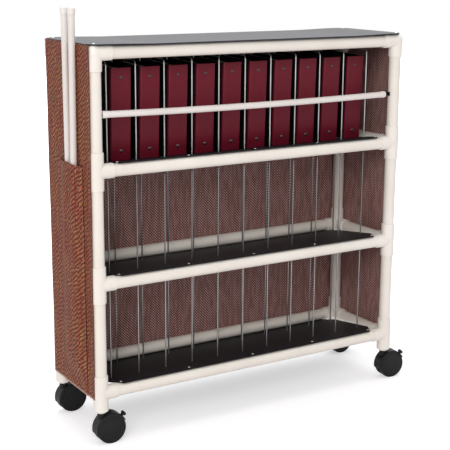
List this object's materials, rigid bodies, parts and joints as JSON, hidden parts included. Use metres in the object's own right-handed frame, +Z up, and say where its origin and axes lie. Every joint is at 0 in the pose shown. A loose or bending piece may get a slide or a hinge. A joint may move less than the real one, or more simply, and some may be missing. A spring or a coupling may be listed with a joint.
{
  "type": "medical chart rack",
  "caption": "Rolling chart rack of ivory pipe with sloping black shelves, wire dividers, a woven mesh cover, retaining bars and ring binders.",
  "frame": {"origin": "on the floor under the middle of the overall bounding box; the front and rear posts stand 156 mm either side of it", "axes": "+Z up, -Y out of the open front, +X to the right as seen from the front"},
  "size_m": [1.3324, 0.3684, 1.4175],
  "materials": {
    "ivory_pvc": "warm ivory furniture-grade PVC pipe and fittings, satin gloss",
    "black_sheet": "black plastic sheet, fine satin",
    "top_sheet": "black plastic sheet, satin, catching the sky light at a flat angle",
    "divider_wire": "drawn steel wire, plain bright",
    "screw_steel": "plated screws",
    "woven_mesh": "woven vinyl-coated mesh, terracotta with gold, olive and dark red flecks",
    "bar_pvc": "thin ivory PVC tube with moulded caps, satin gloss",
    "clip_plastic": "black moulded plastic",
    "caster_plastic": "black moulded nylon, satin",
    "lever_plastic": "black moulded nylon",
    "wheel_rubber": "black moulded wheel, satin tread and smooth cover",
    "caster_steel": "zinc-plated steel stem and axle",
    "binder_vinyl": "burgundy vinyl over board, dark sides"
  },
  "bodies": {
    "frame": {"back_cover": "woven_mesh", "bar_clips": "clip_plastic", "caster_sockets": "ivory_pvc", "front_left_post": "ivory_pvc", "front_right_post": "ivory_pvc", "left_cover": "woven_mesh", "lower_corner_tees": "ivory_pvc", "lower_dividers": "divider_wire", "lower_rails": "ivory_pvc", "lower_shelf": "black_sheet", "middle_corner_tees": "ivory_pvc", "middle_dividers": "divider_wire", "middle_rails": "ivory_pvc", "middle_shelf": "black_sheet", "rear_left_post": "ivory_pvc", "rear_right_post": "ivory_pvc", "right_cover": "woven_mesh", "sheet_screws": "screw_steel", "side_pocket": "woven_mesh", "top_corner_elbows": "ivory_pvc", "top_rails": "ivory_pvc", "top_sheet": "top_sheet", "upper_corner_tees": "ivory_pvc", "upper_dividers": "divider_wire", "upper_rails": "ivory_pvc", "upper_shelf": "black_sheet"},
    "front_left_caster": {"front_left_caster_housing": "caster_plastic", "front_left_caster_stem": "caster_steel"},
    "front_left_inner_wheel": {"front_left_caster_inner_wheel": "wheel_rubber"},
    "front_left_outer_wheel": {"front_left_caster_outer_wheel": "wheel_rubber"},
    "front_left_brake": {"front_left_brake_lever": "lever_plastic"},
    "front_right_caster": {"front_right_caster_housing": "caster_plastic", "front_right_caster_stem": "caster_steel"},
    "front_right_inner_wheel": {"front_right_caster_inner_wheel": "wheel_rubber"},
    "front_right_outer_wheel": {"front_right_caster_outer_wheel": "wheel_rubber"},
    "front_right_brake": {"front_right_brake_lever": "lever_plastic"},
    "rear_left_caster": {"rear_left_caster_housing": "caster_plastic", "rear_left_caster_stem": "caster_steel"},
    "rear_left_inner_wheel": {"rear_left_caster_inner_wheel": "wheel_rubber"},
    "rear_left_outer_wheel": {"rear_left_caster_outer_wheel": "wheel_rubber"},
    "rear_right_caster": {"rear_right_caster_housing": "caster_plastic", "rear_right_caster_stem": "caster_steel"},
    "rear_right_inner_wheel": {"rear_right_caster_inner_wheel": "wheel_rubber"},
    "rear_right_outer_wheel": {"rear_right_caster_outer_wheel": "wheel_rubber"},
    "retaining_bar": {"retaining_bar": "bar_pvc", "retaining_bar_caps": "bar_pvc"},
    "stored_bar_1": {"stored_bar_1": "bar_pvc", "stored_bar_1_caps": "bar_pvc"},
    "stored_bar_2": {"stored_bar_2": "bar_pvc", "stored_bar_2_caps": "bar_pvc"},
    "binder_01": {"binder_01": "binder_vinyl"},
    "binder_02": {"binder_02": "binder_vinyl"},
    "binder_03": {"binder_03": "binder_vinyl"},
    "binder_04": {"binder_04": "binder_vinyl"},
    "binder_05": {"binder_05": "binder_vinyl"},
    "binder_06": {"binder_06": "binder_vinyl"},
    "binder_07": {"binder_07": "binder_vinyl"},
    "binder_08": {"binder_08": "binder_vinyl"},
    "binder_09": {"binder_09": "binder_vinyl"},
    "binder_10": {"binder_10": "binder_vinyl"}
  },
  "joints": [
    {"name": "front_left_swivel", "type": "hinge", "parent": "frame", "child": "front_left_caster", "pos_m": [-0.60835, -0.156, 0.11], "axis": [0, 0, 1], "continuous": true},
    {"name": "front_left_inner_wheel_spin", "type": "hinge", "parent": "front_left_caster", "child": "front_left_inner_wheel", "pos_m": [-0.57885, -0.156, 0.051], "axis": [0, 1, 0], "continuous": true},
    {"name": "front_left_outer_wheel_spin", "type": "hinge", "parent": "front_left_caster", "child": "front_left_outer_wheel", "pos_m": [-0.57885, -0.156, 0.051], "axis": [0, 1, 0], "continuous": true},
    {"name": "front_left_brake_release", "type": "hinge", "parent": "front_left_caster", "child": "front_left_brake", "pos_m": [-0.5469, -0.156, 0.07507], "axis": [0, -1, 0], "range_deg": [0, 15]},
    {"name": "front_right_swivel", "type": "hinge", "parent": "frame", "child": "front_right_caster", "pos_m": [0.58165, -0.156, 0.11], "axis": [0, 0, 1], "continuous": true},
    {"name": "front_right_inner_wheel_spin", "type": "hinge", "parent": "front_right_caster", "child": "front_right_inner_wheel", "pos_m": [0.61099, -0.15908, 0.051], "axis": [0.1045, 0.9945, 0], "continuous": true},
    {"name": "front_right_outer_wheel_spin", "type": "hinge", "parent": "front_right_caster", "child": "front_right_outer_wheel", "pos_m": [0.61099, -0.15908, 0.051], "axis": [0.1045, 0.9945, 0], "continuous": true},
    {"name": "front_right_brake_release", "type": "hinge", "parent": "front_right_caster", "child": "front_right_brake", "pos_m": [0.64276, -0.16242, 0.07507], "axis": [-0.1045, -0.9945, 0], "range_deg": [0, 15]},
    {"name": "rear_left_swivel", "type": "hinge", "parent": "frame", "child": "rear_left_caster", "pos_m": [-0.60835, 0.156, 0.11], "axis": [0, 0, 1], "continuous": true},
    {"name": "rear_left_inner_wheel_spin", "type": "hinge", "parent": "rear_left_caster", "child": "rear_left_inner_wheel", "pos_m": [-0.57887, 0.15703, 0.051], "axis": [-0.0349, 0.9994, 0], "continuous": true},
    {"name": "rear_left_outer_wheel_spin", "type": "hinge", "parent": "rear_left_caster", "child": "rear_left_outer_wheel", "pos_m": [-0.57887, 0.15703, 0.051], "axis": [-0.0349, 0.9994, 0], "continuous": true},
    {"name": "rear_right_swivel", "type": "hinge", "parent": "frame", "child": "rear_right_caster", "pos_m": [0.58165, 0.156, 0.11], "axis": [0, 0, 1], "continuous": true},
    {"name": "rear_right_inner_wheel_spin", "type": "hinge", "parent": "rear_right_caster", "child": "rear_right_inner_wheel", "pos_m": [0.61113, 0.15703, 0.051], "axis": [-0.0349, 0.9994, 0], "continuous": true},
    {"name": "rear_right_outer_wheel_spin", "type": "hinge", "parent": "rear_right_caster", "child": "rear_right_outer_wheel", "pos_m": [0.61113, 0.15703, 0.051], "axis": [-0.0349, 0.9994, 0], "continuous": true},
    {"name": "retaining_bar_release", "type": "slide", "parent": "frame", "child": "retaining_bar", "axis": [0, -1, 0], "range_m": [0, 0.06]},
    {"name": "stored_bar_1_lift", "type": "slide", "parent": "frame", "child": "stored_bar_1", "axis": [0, -0.0209, 0.9998], "range_m": [0, 0.65]},
    {"name": "stored_bar_2_lift", "type": "slide", "parent": "frame", "child": "stored_bar_2", "axis": [0, 0.0052, 1], "range_m": [0, 0.65]},
    {"name": "binder_01_pull", "type": "slide", "parent": "frame", "child": "binder_01", "axis": [0, -0.9895, 0.1449], "range_m": [0, 0.055]},
    {"name": "binder_02_pull", "type": "slide", "parent": "frame", "child": "binder_02", "axis": [0, -0.9895, 0.1449], "range_m": [0, 0.055]},
    {"name": "binder_03_pull", "type": "slide", "parent": "frame", "child": "binder_03", "axis": [0, -0.9895, 0.1449], "range_m": [0, 0.055]},
    {"name": "binder_04_pull", "type": "slide", "parent": "frame", "child": "binder_04", "axis": [0, -0.9895, 0.1449], "range_m": [0, 0.055]},
    {"name": "binder_05_pull", "type": "slide", "parent": "frame", "child": "binder_05", "axis": [0, -0.9895, 0.1449], "range_m": [0, 0.055]},
    {"name": "binder_06_pull", "type": "slide", "parent": "frame", "child": "binder_06", "axis": [0, -0.9895, 0.1449], "range_m": [0, 0.055]},
    {"name": "binder_07_pull", "type": "slide", "parent": "frame", "child": "binder_07", "axis": [0, -0.9895, 0.1449], "range_m": [0, 0.055]},
    {"name": "binder_08_pull", "type": "slide", "parent": "frame", "child": "binder_08", "axis": [0, -0.9895, 0.1449], "range_m": [0, 0.055]},
    {"name": "binder_09_pull", "type": "slide", "parent": "frame", "child": "binder_09", "axis": [0, -0.9895, 0.1449], "range_m": [0, 0.055]},
    {"name": "binder_10_pull", "type": "slide", "parent": "frame", "child": "binder_10", "axis": [0, -0.9895, 0.1449], "range_m": [0, 0.055]}
  ]
}
